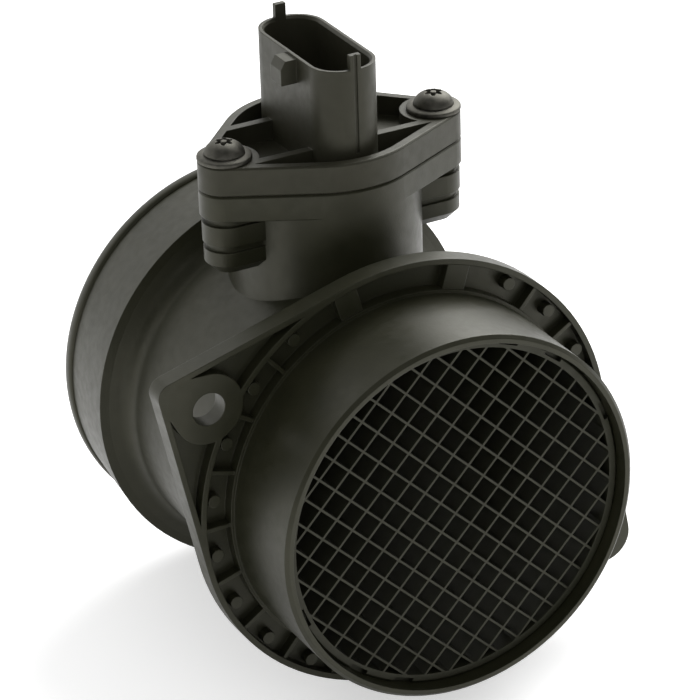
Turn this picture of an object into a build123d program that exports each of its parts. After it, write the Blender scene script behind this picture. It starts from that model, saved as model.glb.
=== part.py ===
from build123d import *
import os
from math import ceil, cos, radians, sin, sqrt

# Hot-film mass airflow sensor for an engine's intake pipe.
# Frame: origin at the centre of the inlet mouth, +Y along the air flow, +Z up through the tower.
# All sizes are in millimetres.

# Duct
MOUTH_RADIUS = 45.0  # outside of the inlet tube
BODY_RADIUS = 43.0  # outside of the duct behind the inlet flange
BORE_RADIUS = 41.2
OUTLET_RADIUS = 44.8  # bore inside the barb
OUTLET_STEP = (86.0, 90.0)  # where the bore starts and stops widening
DUCT_LENGTH = 112.7
MOUTH_BEVEL = 0.8

# Hose barb round the outlet
BARB_RADIUS = 49.7
BARB_LENGTH = 25.2
BARB_RAMP = 5.0  # length of the slope from the duct up to the barb's crest
BARB_KNEE = (1.2, 4.2)  # back from the crest and below it, where that slope turns steep
BARB_END_RADIUS = 47.0
BARB_END_BEVEL = 1.2

# Inlet flange, a channel-shaped plate with two ears
FLANGE_Y = 25.5  # front edge of its rim
FLANGE_RADIUS = 53.3
FLANGE_DEPTH = 4.9
FLANGE_WEB = 1.8
FLANGE_COLLAR_RADIUS = 45.8  # thickening of the tube inside the flange
RIM_WALL = 1.4
EAR_ANGLE = 148.9  # direction of the first ear, from +X towards +Z
EAR_HOLE_DISTANCE = 58.4
EAR_HOLE_RADIUS = 4.0
EAR_PAD_RADIUS = 8.6
EAR_TIPS = ((0, 68.5, 3.5), (180, 62.1, 6.75))  # turn from the first ear, distance and radius of the tip

# Pins and radial ribs on the floor of the flange channel
PIN_CIRCLE_RADIUS = 49.8
PIN_RADIUS = 1.6
PIN_SIDES = 10
PIN_PITCH_ANGLE = 16.3
PIN_START_ANGLE = 33.9  # from the top of the duct to the first pin
PINS_PER_SIDE = 9
PIN_DROP = 0.6  # pins and ribs end this far behind the rim's edge
RIB_THICKNESS = 1.0
PAD_ANGLE = 16.5  # from the top of the duct to the middle of each raised pad
PAD_WIDTH = 5.8

# Flow grid in the inlet mouth
GRID_RECESS = 3.3
GRID_DEPTH = 8.0
GRID_RADIUS = 43.0
GRID_CLEAR_RADIUS = 40.8
GRID_PITCH = 5.33
GRID_RIB = 0.55
GRID_ANGLE = 46.2
GRID_CLEARANCE = 0.1  # between the grid's ring and its seat
GRID_BEVEL = 0.6  # round the ring's front edge
SMALLEST_CELL = 3.0  # open area, in square millimetres; smaller corners stay filled
NOTCH_ANGLES = (22, 52, 70)
NOTCH_WIDTH = 5.0
NOTCH_DEPTH = 1.4

# Wire screen behind the grid, and the ring that holds it there
SCREEN_FRAME_DEPTH = 1.3
SCREEN_CLEAR_RADIUS = 40.9
SCREEN_RADIUS = 42.4
WIRE_THICKNESS = 0.35
WIRE_PITCH = 2.5
WIRE_LAYER_GAP = 0.02

# Tower on top of the duct, round the sensor plug
TOWER_Y = 64.1
TOWER_RADIUS = 22.9
TOWER_BORE_RADIUS = 18.5
TOWER_TOP = 66.1  # joint between the tower and the sensor's flange
TOWER_PLATE = 6.1
SCREW_SPACING = 54.4
SCREW_SETBACK = 4.6  # from the tower's axis forwards to the line of the screws
EAR_RADIUS = 6.3
LUG_BOTTOM = 46.0
LUG_CORE_RADIUS = 5.0
LUG_BANDS = ((1.8, 4.8, 5.9), (8.2, 5.8, 5.7))  # drop from the plate's underside, height and radius
LUG_BEVEL = 2.4

# Flange of the plug-in sensor
SENSOR_FLANGE = 7.1
POCKET_DEPTH = 4.8
POCKET_WALL = 2.3
POCKET_BOSS_RADIUS = 8.0  # solid round each screw
POCKET_RIB = 2.2
POCKET_RIB_SPREAD = 10.1  # from the tower's axis to each of the two cross ribs
EDGE_BREAK = 0.4

# Connector socket
SOCKET_Y = 65.0
SOCKET_WIDTH = 16.1
SOCKET_LENGTH = 38.2
SOCKET_CORNER = 7.3
SOCKET_WALL = 1.4
SOCKET_LEAD_IN = 0.6  # slope round the inside of its mouth
SOCKET_TOP = 93.7
SOCKET_FLOOR = 77.0
KEY_WIDTH = 2.7
KEY_HEIGHT = 3.5
KEY_GROOVE = 0.8
LATCH_SETBACK = 2.9  # from the socket's middle forwards to the middle of the latch nub
LATCH_REACH = 4.0
LATCH_LENGTH = 5.2
LATCH_HEIGHT = 5.8
LATCH_DROP = 0.5  # from the socket's rim to the top of the latch nub
LATCH_BEVEL = (1.2, 2.0)  # off its upper outer edge, across and down

# Terminals
TERMINAL_COUNT = 5
TERMINAL_PITCH = 3.8
TERMINAL_WIDTH = 1.5
TERMINAL_THICKNESS = 0.6
TERMINAL_TIP = 86.0
TERMINAL_BEVEL = 0.15

# Plug and its seal
PLUG_CLEARANCE = 0.3
PLUG_BOTTOM = 46.0
SEAL_Z = 56.0
SEAL_SECTION = 2.6
SEAL_SIDE_GAP = 0.4

# Probe blade in the air stream
PROBE_WIDTH = 13.0
PROBE_LENGTH = 30.0
PROBE_BOTTOM = -7.5
PROBE_ROUNDING = 2.3
CHAMBER_LENGTH = 23.0
CHAMBER_BOTTOM = 12.0
CHAMBER_TOP = 44.0
CHAMBER_FLOOR = 3.0  # x of the floor of the circuit chamber and of the channel
BOND_LEDGE = 7.0  # height of the ledge under the ends of the terminals
COVER_THICKNESS = 1.4
COVER_LAND = 1.0

# Bypass channel
CHANNEL_HEIGHT = 5.0
CHANNEL_CORE = 3.0
CHANNEL_CENTRE = 2.0
CHANNEL_TURN = 5.0  # from the probe's middle to the centre of the U-turn
CHANNEL_EXIT_LENGTH = 7.0

# Electronics
PLATE_THICKNESS = 1.5
PLATE_MARGIN = 0.5
BOARD_THICKNESS = 0.7
BOARD_LENGTH = 20.0
BOARD_HEIGHT = 14.0
CHIP_SIZE = 5.0
CHIP_THICKNESS = 0.9
CAPACITOR_LENGTH = 2.0
CAPACITOR_WIDTH = 1.2
CAPACITOR_PITCH = 3.0
CAPACITOR_COUNT = 4
HOLDER_WIDTH = 8.0
HOLDER_THICKNESS = 1.2
HOLDER_SEAT = 5.0  # length of the tongue that lies on the carrier plate
HOLDER_LIP = 0.6  # below the measuring chip
HOLDER_SETBACK = 3.0  # from the probe's middle forwards to the tongue
SENSOR_CHIP_WIDTH = 6.0
SENSOR_CHIP_HEIGHT = 2.6
SENSOR_CHIP_THICKNESS = 0.4
BEAD_RADIUS = 1.3
BEAD_SIDES = 12
BEAD_LENGTH = 4.0
BEAD_Z = 20.0
BEAD_STANDOFF = 2.4
LEAD_THICKNESS = 0.7
LEAD_SPAN = 14.0
LEAD_DEPTH = 2.0

# Screws
WASHER_RADIUS = 6.4
WASHER_THICKNESS = 1.3
HEAD_RADIUS = 4.8
HEAD_HEIGHT = 3.0
HEAD_BEVEL = 1.7
THREAD_RADIUS = 1.95
SCREW_LENGTH = 24.0
SCREW_CLEARANCE = 0.3
LOBE_LENGTH = 4.4  # from tip to tip across the recess
LOBE_WIDTH = 1.3
LOBE_DEPTH = 1.6
LOBE_PIN_RADIUS = 0.7
LOBE_PIN_SIDES = 6

# Places that follow from the sizes above
BARB_CREST_Y = DUCT_LENGTH - BARB_LENGTH
BARB_ROOT_Y = BARB_CREST_Y - BARB_RAMP
FLANGE_REAR_Y = FLANGE_Y + FLANGE_DEPTH
FLANGE_FLOOR_Y = FLANGE_REAR_Y - FLANGE_WEB
RIB_MIDDLE = (MOUTH_RADIUS + FLANGE_RADIUS - RIM_WALL) / 2
GRID_SEAT_RADIUS = GRID_RADIUS + GRID_CLEARANCE
SCREEN_Y = GRID_RECESS + GRID_DEPTH
FRAME_Y = SCREEN_Y + 2 * WIRE_THICKNESS + WIRE_LAYER_GAP
SEAT_Y = FRAME_Y + SCREEN_FRAME_DEPTH
CELLS_ACROSS = 2 * ceil(GRID_CLEAR_RADIUS / GRID_PITCH)
WIRES_PER_SIDE = int((SCREEN_RADIUS - WIRE_THICKNESS) / WIRE_PITCH)
SCREW_Y = TOWER_Y - SCREW_SETBACK
PLATE_UNDERSIDE = TOWER_TOP - TOWER_PLATE
FLANGE_TOP = TOWER_TOP + SENSOR_FLANGE
PLUG_RADIUS = TOWER_BORE_RADIUS - PLUG_CLEARANCE
PLUG_ROOT_RADIUS = TOWER_BORE_RADIUS - SEAL_SECTION
SEAL_GROOVE = SEAL_SECTION + 2 * SEAL_SIDE_GAP
PROBE_FACE = PROBE_WIDTH / 2
CHAMBER_HEIGHT = CHAMBER_TOP - CHAMBER_BOTTOM
CHAMBER_MIDDLE = (CHAMBER_TOP + CHAMBER_BOTTOM) / 2
CHANNEL_RADIUS = CHANNEL_CORE / 2 + CHANNEL_HEIGHT
CHANNEL_WIDTH = CHAMBER_FLOOR + PROBE_FACE - COVER_THICKNESS
LANE_Z = CHANNEL_CENTRE + (CHANNEL_CORE + CHANNEL_HEIGHT) / 2
LEDGE_X = TERMINAL_THICKNESS / 2
PLATE_X = CHAMBER_FLOOR - PLATE_THICKNESS
PLATE_HEIGHT = CHAMBER_HEIGHT - BOND_LEDGE - 2 * PLATE_MARGIN
PLATE_MIDDLE = CHAMBER_BOTTOM + PLATE_MARGIN + PLATE_HEIGHT / 2
BOARD_X = PLATE_X - BOARD_THICKNESS
BOARD_MIDDLE = CHAMBER_TOP - BOND_LEDGE - 2 * PLATE_MARGIN - BOARD_HEIGHT / 2
HOLDER_BOTTOM = LANE_Z - SENSOR_CHIP_HEIGHT / 2 - HOLDER_LIP
HOLDER_HEIGHT = CHAMBER_BOTTOM + HOLDER_SEAT - HOLDER_BOTTOM
HOLDER_X = PLATE_X - HOLDER_THICKNESS
screw_points = [(-SCREW_SPACING / 2, SCREW_Y), (SCREW_SPACING / 2, SCREW_Y)]
terminal_steps = [step - (TERMINAL_COUNT - 1) / 2 for step in range(TERMINAL_COUNT)]


def across_duct(y, turn=0):
    """Plane across the duct at y, seen along the flow; its x runs to the right, turned towards +Z."""
    return Plane(origin=(0, y, 0), x_dir=(cos(radians(turn)), 0, sin(radians(turn))), z_dir=(0, -1, 0))


def along_probe(x):
    """Plane along the probe's flat side at x, facing -X; its own x runs against the flow."""
    return Plane(origin=(x, 0, 0), x_dir=(0, -1, 0), z_dir=(-1, 0, 0))


def lozenge(middle_radius, ear_radius):
    """Outline of the tower's plate: a round middle drawn out to an ear at each screw."""
    with BuildSketch() as outline:
        with Locations((0, TOWER_Y)):
            Circle(middle_radius)
        with Locations(*screw_points):
            Circle(ear_radius)
        make_hull()
    return outline.sketch


def flange_outline(inset=0):
    """Outline of the inlet flange: a disc drawn out to the tips of both ears, or the same inside its rim."""
    with BuildSketch() as outline:
        Circle(FLANGE_RADIUS - inset)
        for turn, distance, radius in EAR_TIPS:
            with PolarLocations(distance, 1, start_angle=EAR_ANGLE + turn):
                Circle(radius - inset)
        make_hull()
    return outline.sketch


# ---- Duct housing -------------------------------------------------------------------

# Tower: round stem, plate with two ears, and under each ear a lug with two bands on a slimmer core
with BuildPart() as tower:
    for drop, height, radius in LUG_BANDS:
        with BuildSketch(Plane.XY.offset(PLATE_UNDERSIDE - drop)):
            with Locations((0, SCREW_Y)):
                SlotCenterToCenter(SCREW_SPACING, 2 * radius)
        extrude(amount=-height)
    chamfer(tower.edges().group_by(Axis.Z)[0], LUG_BEVEL)
    with BuildSketch(Plane.XY.offset(PLATE_UNDERSIDE)):
        with Locations((0, SCREW_Y)):
            SlotCenterToCenter(SCREW_SPACING, 2 * LUG_CORE_RADIUS)
    extrude(amount=LUG_BOTTOM + LUG_BEVEL - PLATE_UNDERSIDE)
    with BuildSketch(Plane.XY.offset(PLATE_UNDERSIDE)):
        add(lozenge(TOWER_RADIUS, EAR_RADIUS))
    extrude(amount=TOWER_PLATE)
    chamfer(tower.edges().group_by(Axis.Z)[-1], EDGE_BREAK)
    with BuildSketch():
        with Locations((0, TOWER_Y)):
            Circle(TOWER_RADIUS)
    extrude(amount=PLATE_UNDERSIDE)

with BuildPart() as duct_housing:
    # Tube and hose barb, still solid inside, and the tower on top
    with BuildSketch() as tube_profile:
        with BuildLine():
            Polyline(
                (0, 0),
                (MOUTH_RADIUS, 0),
                (MOUTH_RADIUS, FLANGE_Y),
                (FLANGE_COLLAR_RADIUS, FLANGE_Y),
                (FLANGE_COLLAR_RADIUS, FLANGE_REAR_Y),
                (BODY_RADIUS, FLANGE_REAR_Y),
                (BODY_RADIUS, BARB_ROOT_Y),
                (BARB_RADIUS - BARB_KNEE[1], BARB_CREST_Y - BARB_KNEE[0]),
                (BARB_RADIUS, BARB_CREST_Y),
                (BARB_END_RADIUS, DUCT_LENGTH),
                (0, DUCT_LENGTH),
                close=True,
            )
        make_face()
        chamfer(tube_profile.vertices().group_by(Axis.Y)[0].sort_by(Axis.X)[-1], MOUTH_BEVEL)
        chamfer(tube_profile.vertices().group_by(Axis.Y)[-1].sort_by(Axis.X)[-1], BARB_END_BEVEL)
    revolve(axis=Axis.Y)
    add(tower.part)

    # Flange: web at the back, rim, ring wall that crosses the ears, and pads at the holes
    with BuildSketch(across_duct(FLANGE_FLOOR_Y)):
        add(flange_outline())
    extrude(amount=-FLANGE_WEB)
    with BuildSketch(across_duct(FLANGE_Y)):
        add(flange_outline())
        add(flange_outline(RIM_WALL), mode=Mode.SUBTRACT)
    extrude(amount=-FLANGE_DEPTH)
    with BuildSketch(across_duct(FLANGE_Y)):
        Circle(FLANGE_RADIUS)
        Circle(FLANGE_RADIUS - RIM_WALL, mode=Mode.SUBTRACT)
    extrude(amount=-FLANGE_DEPTH)
    for turn, distance, radius in EAR_TIPS:
        with BuildSketch(across_duct(FLANGE_Y)):
            with PolarLocations(EAR_HOLE_DISTANCE, 1, start_angle=EAR_ANGLE + turn):
                Circle(EAR_PAD_RADIUS)
            with PolarLocations(distance, 1, start_angle=EAR_ANGLE + turn):
                Circle(radius)
            make_hull()
            add(flange_outline(), mode=Mode.INTERSECT)
        extrude(amount=-FLANGE_DEPTH)

    # Pins, ribs and pads on the channel's floor, mirrored about the vertical
    with BuildSketch(across_duct(FLANGE_Y + PIN_DROP)):
        for side in (-1, 1):
            for step in range(PINS_PER_SIDE):
                angle = 90 + side * (PIN_START_ANGLE + step * PIN_PITCH_ANGLE)
                with PolarLocations(PIN_CIRCLE_RADIUS, 1, start_angle=angle):
                    RegularPolygon(PIN_RADIUS, PIN_SIDES)
                with PolarLocations(RIB_MIDDLE, 1, start_angle=angle + side * PIN_PITCH_ANGLE / 2):
                    Rectangle(FLANGE_RADIUS - MOUTH_RADIUS, RIB_THICKNESS)
            with PolarLocations(RIB_MIDDLE, 1, start_angle=90 + side * PAD_ANGLE):
                Rectangle(FLANGE_RADIUS - MOUTH_RADIUS, PAD_WIDTH)
    extrude(amount=-(FLANGE_FLOOR_Y - FLANGE_Y - PIN_DROP))

    # Bore, with the seat for the grid and the screen frame, and wider inside the barb
    with BuildSketch():
        with BuildLine():
            Polyline(
                (0, 0),
                (GRID_SEAT_RADIUS, 0),
                (GRID_SEAT_RADIUS, SEAT_Y),
                (BORE_RADIUS, SEAT_Y),
                (BORE_RADIUS, OUTLET_STEP[0]),
                (OUTLET_RADIUS, OUTLET_STEP[1]),
                (OUTLET_RADIUS, DUCT_LENGTH),
                (0, DUCT_LENGTH),
                close=True,
            )
        make_face()
    revolve(axis=Axis.Y, mode=Mode.SUBTRACT)

    # Plug bore, screw holes and ear holes
    with BuildSketch(Plane.XY.offset(TOWER_TOP)):
        with Locations((0, TOWER_Y)):
            Circle(TOWER_BORE_RADIUS)
    extrude(amount=-TOWER_TOP, mode=Mode.SUBTRACT)
    with BuildSketch(Plane.XY.offset(TOWER_TOP)):
        with Locations(*screw_points):
            Circle(THREAD_RADIUS)
    extrude(amount=SENSOR_FLANGE - SCREW_LENGTH, mode=Mode.SUBTRACT)
    with BuildSketch(across_duct(FLANGE_Y)):
        with PolarLocations(EAR_HOLE_DISTANCE, 2, start_angle=EAR_ANGLE):
            Circle(EAR_HOLE_RADIUS)
    extrude(amount=-FLANGE_DEPTH, mode=Mode.SUBTRACT)

# ---- Flow grid ----------------------------------------------------------------------

with BuildSketch(across_duct(GRID_RECESS, GRID_ANGLE)) as grid_cells:
    with GridLocations(GRID_PITCH, GRID_PITCH, CELLS_ACROSS, CELLS_ACROSS):
        Rectangle(GRID_PITCH - GRID_RIB, GRID_PITCH - GRID_RIB)
    Circle(GRID_CLEAR_RADIUS, mode=Mode.INTERSECT)

with BuildPart() as flow_grid:
    with BuildSketch(across_duct(GRID_RECESS)):
        Circle(GRID_RADIUS)
    extrude(amount=-GRID_DEPTH)
    chamfer(flow_grid.edges().group_by(Axis.Y)[0], GRID_BEVEL)
    extrude(
        [cell for cell in grid_cells.sketch.faces() if cell.area > SMALLEST_CELL],
        amount=-GRID_DEPTH,
        mode=Mode.SUBTRACT,
    )
    # Notches in the ring's front edge, three on each side, for the tool that seats the grid
    with BuildSketch(across_duct(GRID_RECESS)):
        for angle in NOTCH_ANGLES:
            with PolarLocations(GRID_RADIUS - NOTCH_DEPTH / 2, 2, start_angle=angle):
                Rectangle(NOTCH_DEPTH, NOTCH_WIDTH)
    extrude(amount=-NOTCH_DEPTH, mode=Mode.SUBTRACT)

# ---- Wire screen and its frame ------------------------------------------------------

with BuildPart() as screen_frame:
    with BuildSketch(across_duct(FRAME_Y)):
        Circle(GRID_RADIUS)
        Circle(SCREEN_CLEAR_RADIUS, mode=Mode.SUBTRACT)
    extrude(amount=-SCREEN_FRAME_DEPTH)

# Straight wires in two crossing layers, clamped between the grid's ring and the frame
with BuildPart() as wire_screen:
    for layer, turn in enumerate((0, 90)):
        with BuildSketch(across_duct(SCREEN_Y + layer * (WIRE_THICKNESS + WIRE_LAYER_GAP), turn)):
            for step in range(-WIRES_PER_SIDE, WIRES_PER_SIDE + 1):
                outer_side = abs(step) * WIRE_PITCH + WIRE_THICKNESS / 2
                with Locations((step * WIRE_PITCH, 0)):
                    Rectangle(WIRE_THICKNESS, 2 * sqrt(SCREEN_RADIUS**2 - outer_side**2))
        extrude(amount=-WIRE_THICKNESS)

# ---- Plug-in sensor body ------------------------------------------------------------

# Socket outline at its outside, or inside its wall
def socket_outline(inset=0):
    with BuildSketch() as outline:
        with Locations((0, SOCKET_Y)):
            RectangleRounded(SOCKET_WIDTH - 2 * inset, SOCKET_LENGTH - 2 * inset, SOCKET_CORNER - inset)
    return outline.sketch


# Bypass channel seen from the probe's flat side: lane past the chip, U-turn, lane to the exit
with BuildSketch() as channel:
    with Locations((-TOWER_Y - CHANNEL_TURN, CHANNEL_CENTRE)):
        Circle(CHANNEL_RADIUS)
    with Locations((-TOWER_Y - CHANNEL_TURN, LANE_Z)):
        Rectangle(CHANNEL_TURN + CHAMBER_LENGTH / 2, CHANNEL_HEIGHT, align=(Align.MIN, Align.CENTER))
    with Locations((-TOWER_Y - CHANNEL_TURN, 2 * CHANNEL_CENTRE - LANE_Z)):
        Rectangle(CHANNEL_TURN + CHANNEL_EXIT_LENGTH / 2, CHANNEL_HEIGHT, align=(Align.MIN, Align.CENTER))
    with Locations((-TOWER_Y - CHANNEL_TURN, CHANNEL_CENTRE)):
        Circle(CHANNEL_CORE / 2, mode=Mode.SUBTRACT)
        Rectangle(PROBE_LENGTH, CHANNEL_CORE, align=(Align.MIN, Align.CENTER), mode=Mode.SUBTRACT)

with BuildPart() as sensor_body:
    # Flange with pockets between its rim, screw bosses and cross ribs
    with BuildSketch(Plane.XY.offset(TOWER_TOP)):
        add(lozenge(TOWER_RADIUS, EAR_RADIUS))
    extrude(amount=SENSOR_FLANGE)
    chamfer(sensor_body.edges().group_by(Axis.Z)[0] + sensor_body.edges().group_by(Axis.Z)[-1], EDGE_BREAK)
    with BuildSketch(Plane.XY.offset(FLANGE_TOP)):
        add(lozenge(TOWER_RADIUS - POCKET_WALL, EAR_RADIUS - POCKET_WALL))
        with Locations(*screw_points):
            Circle(POCKET_BOSS_RADIUS, mode=Mode.SUBTRACT)
        for side in (-1, 1):
            with Locations((0, TOWER_Y + side * POCKET_RIB_SPREAD)):
                Rectangle(SCREW_SPACING, POCKET_RIB, mode=Mode.SUBTRACT)
    extrude(amount=-POCKET_DEPTH, mode=Mode.SUBTRACT)

    # Socket with its latch nub
    with BuildSketch(Plane.XY.offset(FLANGE_TOP - POCKET_DEPTH)):
        add(socket_outline())
    extrude(amount=SOCKET_TOP - FLANGE_TOP + POCKET_DEPTH)
    with BuildSketch(Plane.XZ.offset(-SOCKET_Y + LATCH_SETBACK)):
        with BuildLine():
            Polyline(
                (-SOCKET_WIDTH / 2 + SOCKET_WALL, SOCKET_TOP - LATCH_DROP),
                (-SOCKET_WIDTH / 2 - LATCH_REACH + LATCH_BEVEL[0], SOCKET_TOP - LATCH_DROP),
                (-SOCKET_WIDTH / 2 - LATCH_REACH, SOCKET_TOP - LATCH_DROP - LATCH_BEVEL[1]),
                (-SOCKET_WIDTH / 2 - LATCH_REACH, SOCKET_TOP - LATCH_DROP - LATCH_HEIGHT),
                (-SOCKET_WIDTH / 2 + SOCKET_WALL, SOCKET_TOP - LATCH_DROP - LATCH_HEIGHT),
                close=True,
            )
        make_face()
    extrude(amount=LATCH_LENGTH / 2, both=True)
    with BuildSketch(Plane.XY.offset(SOCKET_FLOOR)):
        add(socket_outline(SOCKET_WALL))
    extrude(amount=SOCKET_TOP - SOCKET_FLOOR, mode=Mode.SUBTRACT)
    chamfer(sensor_body.faces().sort_by(Axis.Z)[-1].inner_wires()[0].edges(), SOCKET_LEAD_IN)

    # Two keys that stand on the socket's ends, and the groove down the front one
    with BuildSketch(Plane.XY.offset(SOCKET_TOP)):
        add(socket_outline())
        add(socket_outline(SOCKET_WALL), mode=Mode.SUBTRACT)
        with Locations((0, SOCKET_Y)):
            Rectangle(KEY_WIDTH, SOCKET_LENGTH, mode=Mode.INTERSECT)
    extrude(amount=KEY_HEIGHT, both=True)
    with BuildSketch(Plane.XY.offset(FLANGE_TOP)):
        with Locations((0, SOCKET_Y - SOCKET_LENGTH / 2)):
            Rectangle(KEY_GROOVE, KEY_GROOVE)
    extrude(amount=SOCKET_TOP + KEY_HEIGHT - FLANGE_TOP, mode=Mode.SUBTRACT)

    # Plug with the groove for its seal
    with BuildSketch(Plane.XY.offset(TOWER_TOP)):
        with Locations((0, TOWER_Y)):
            Circle(PLUG_RADIUS)
    extrude(amount=PLUG_BOTTOM - TOWER_TOP)
    with BuildSketch(Plane.XY.offset(SEAL_Z - SEAL_GROOVE / 2)):
        with Locations((0, TOWER_Y)):
            Circle(TOWER_BORE_RADIUS)
            Circle(PLUG_ROOT_RADIUS, mode=Mode.SUBTRACT)
    extrude(amount=SEAL_GROOVE, mode=Mode.SUBTRACT)

    # Probe blade
    with BuildSketch(Plane.XY.offset(PLUG_BOTTOM)):
        with Locations((0, TOWER_Y)):
            RectangleRounded(PROBE_WIDTH, PROBE_LENGTH, PROBE_ROUNDING)
    extrude(amount=PROBE_BOTTOM - PLUG_BOTTOM)

    # Circuit chamber, deeper below the ledge that the terminals end on, and its lid's rebate
    with BuildSketch(along_probe(-PROBE_FACE)):
        with Locations((-TOWER_Y, CHAMBER_MIDDLE)):
            Rectangle(CHAMBER_LENGTH + 2 * COVER_LAND, CHAMBER_HEIGHT + 2 * COVER_LAND)
    extrude(amount=-COVER_THICKNESS, mode=Mode.SUBTRACT)
    with BuildSketch(along_probe(-PROBE_FACE)):
        with Locations((-TOWER_Y, CHAMBER_MIDDLE)):
            Rectangle(CHAMBER_LENGTH, CHAMBER_HEIGHT)
    extrude(amount=-(PROBE_FACE + LEDGE_X), mode=Mode.SUBTRACT)
    with BuildSketch(along_probe(LEDGE_X)):
        with Locations((-TOWER_Y, CHAMBER_BOTTOM)):
            Rectangle(CHAMBER_LENGTH, CHAMBER_HEIGHT - BOND_LEDGE, align=(Align.CENTER, Align.MIN))
    extrude(amount=LEDGE_X - CHAMBER_FLOOR, mode=Mode.SUBTRACT)

    # Bypass channel, its lid's rebate, its inlet in the leading edge and its exit below
    with BuildSketch(along_probe(-PROBE_FACE)):
        with Locations((-TOWER_Y, CHANNEL_CENTRE)):
            Rectangle(CHAMBER_LENGTH + 2 * COVER_LAND, 2 * (CHANNEL_RADIUS + COVER_LAND))
    extrude(amount=-COVER_THICKNESS, mode=Mode.SUBTRACT)
    with BuildSketch(along_probe(-PROBE_FACE)):
        add(channel.sketch)
    extrude(amount=-(PROBE_FACE + CHAMBER_FLOOR), mode=Mode.SUBTRACT)
    with BuildSketch(across_duct(TOWER_Y - PROBE_LENGTH / 2)):
        with Locations((CHAMBER_FLOOR, LANE_Z)):
            Rectangle(CHANNEL_WIDTH, CHANNEL_HEIGHT, align=(Align.MAX, Align.CENTER))
    extrude(amount=-(PROBE_LENGTH - CHAMBER_LENGTH) / 2, mode=Mode.SUBTRACT)
    with BuildSketch(Plane.XY.offset(PROBE_BOTTOM)):
        with Locations((CHAMBER_FLOOR, TOWER_Y)):
            Rectangle(CHANNEL_WIDTH, CHANNEL_EXIT_LENGTH, align=(Align.MAX, Align.CENTER))
    extrude(amount=CHANNEL_CENTRE - CHANNEL_CORE / 2 - PROBE_BOTTOM, mode=Mode.SUBTRACT)

    # Slots for the terminals and the chip's tongue, screw holes and lead holes
    with BuildSketch(Plane.XY.offset(CHAMBER_TOP - BOND_LEDGE)):
        for step in terminal_steps:
            with Locations((0, SOCKET_Y + step * TERMINAL_PITCH)):
                Rectangle(TERMINAL_THICKNESS, TERMINAL_WIDTH)
    extrude(amount=SOCKET_FLOOR - CHAMBER_TOP + BOND_LEDGE, mode=Mode.SUBTRACT)
    with BuildSketch(along_probe(PLATE_X)):
        with Locations((-TOWER_Y + HOLDER_SETBACK, HOLDER_BOTTOM)):
            Rectangle(HOLDER_WIDTH, HOLDER_HEIGHT, align=(Align.CENTER, Align.MIN))
    extrude(amount=HOLDER_THICKNESS, mode=Mode.SUBTRACT)
    with BuildSketch(Plane.XY.offset(FLANGE_TOP)):
        with Locations(*screw_points):
            Circle(THREAD_RADIUS + SCREW_CLEARANCE)
    extrude(amount=-SENSOR_FLANGE, mode=Mode.SUBTRACT)
    with BuildSketch(along_probe(PROBE_FACE)):
        with Locations((-TOWER_Y, BEAD_Z - LEAD_SPAN / 2), (-TOWER_Y, BEAD_Z + LEAD_SPAN / 2)):
            Rectangle(LEAD_THICKNESS, LEAD_THICKNESS)
    extrude(amount=LEAD_DEPTH, mode=Mode.SUBTRACT)

# Square-cut ring in the plug's groove
with BuildPart() as plug_seal:
    with BuildSketch(Plane.XY.offset(SEAL_Z - SEAL_SECTION / 2)):
        with Locations((0, TOWER_Y)):
            Circle(TOWER_BORE_RADIUS)
            Circle(PLUG_ROOT_RADIUS, mode=Mode.SUBTRACT)
    extrude(amount=SEAL_SECTION)

# ---- Terminals ----------------------------------------------------------------------

terminals = []
for step in terminal_steps:
    with BuildPart() as terminal:
        with BuildSketch(Plane.XY.offset(CHAMBER_TOP - BOND_LEDGE)):
            with Locations((0, SOCKET_Y + step * TERMINAL_PITCH)):
                Rectangle(TERMINAL_THICKNESS, TERMINAL_WIDTH)
        extrude(amount=TERMINAL_TIP - CHAMBER_TOP + BOND_LEDGE)
        chamfer(terminal.edges().group_by(Axis.Z)[-1], TERMINAL_BEVEL)
    terminals.append(terminal.part)

# ---- Circuit ------------------------------------------------------------------------

with BuildPart() as carrier_plate:
    with BuildSketch(along_probe(CHAMBER_FLOOR)):
        with Locations((-TOWER_Y, PLATE_MIDDLE)):
            Rectangle(CHAMBER_LENGTH - 2 * PLATE_MARGIN, PLATE_HEIGHT)
    extrude(amount=PLATE_THICKNESS)

with BuildPart() as circuit_board:
    with BuildSketch(along_probe(PLATE_X)):
        with Locations((-TOWER_Y, BOARD_MIDDLE)):
            Rectangle(BOARD_LENGTH, BOARD_HEIGHT)
    extrude(amount=BOARD_THICKNESS)

with BuildPart() as control_chip:
    with BuildSketch(along_probe(BOARD_X)):
        with Locations((-TOWER_Y, BOARD_MIDDLE - CHIP_SIZE / 4)):
            Rectangle(CHIP_SIZE, CHIP_SIZE)
    extrude(amount=CHIP_THICKNESS)

with BuildPart() as chip_capacitors:
    with BuildSketch(along_probe(BOARD_X)):
        with Locations((-TOWER_Y, BOARD_MIDDLE + BOARD_HEIGHT / 2 - CAPACITOR_LENGTH)):
            with GridLocations(CAPACITOR_PITCH, 1, CAPACITOR_COUNT, 1):
                Rectangle(CAPACITOR_WIDTH, CAPACITOR_LENGTH)
    extrude(amount=CAPACITOR_WIDTH)

# Tongue from the carrier plate through the wall into the bypass channel
with BuildPart() as sensor_holder:
    with BuildSketch(along_probe(PLATE_X)):
        with Locations((-TOWER_Y + HOLDER_SETBACK, HOLDER_BOTTOM)):
            Rectangle(HOLDER_WIDTH, HOLDER_HEIGHT, align=(Align.CENTER, Align.MIN))
    extrude(amount=HOLDER_THICKNESS)
    with BuildSketch(along_probe(HOLDER_X)):
        with Locations((-TOWER_Y + HOLDER_SETBACK, LANE_Z)):
            Rectangle(SENSOR_CHIP_WIDTH, SENSOR_CHIP_HEIGHT)
    extrude(amount=-SENSOR_CHIP_THICKNESS, mode=Mode.SUBTRACT)

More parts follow.
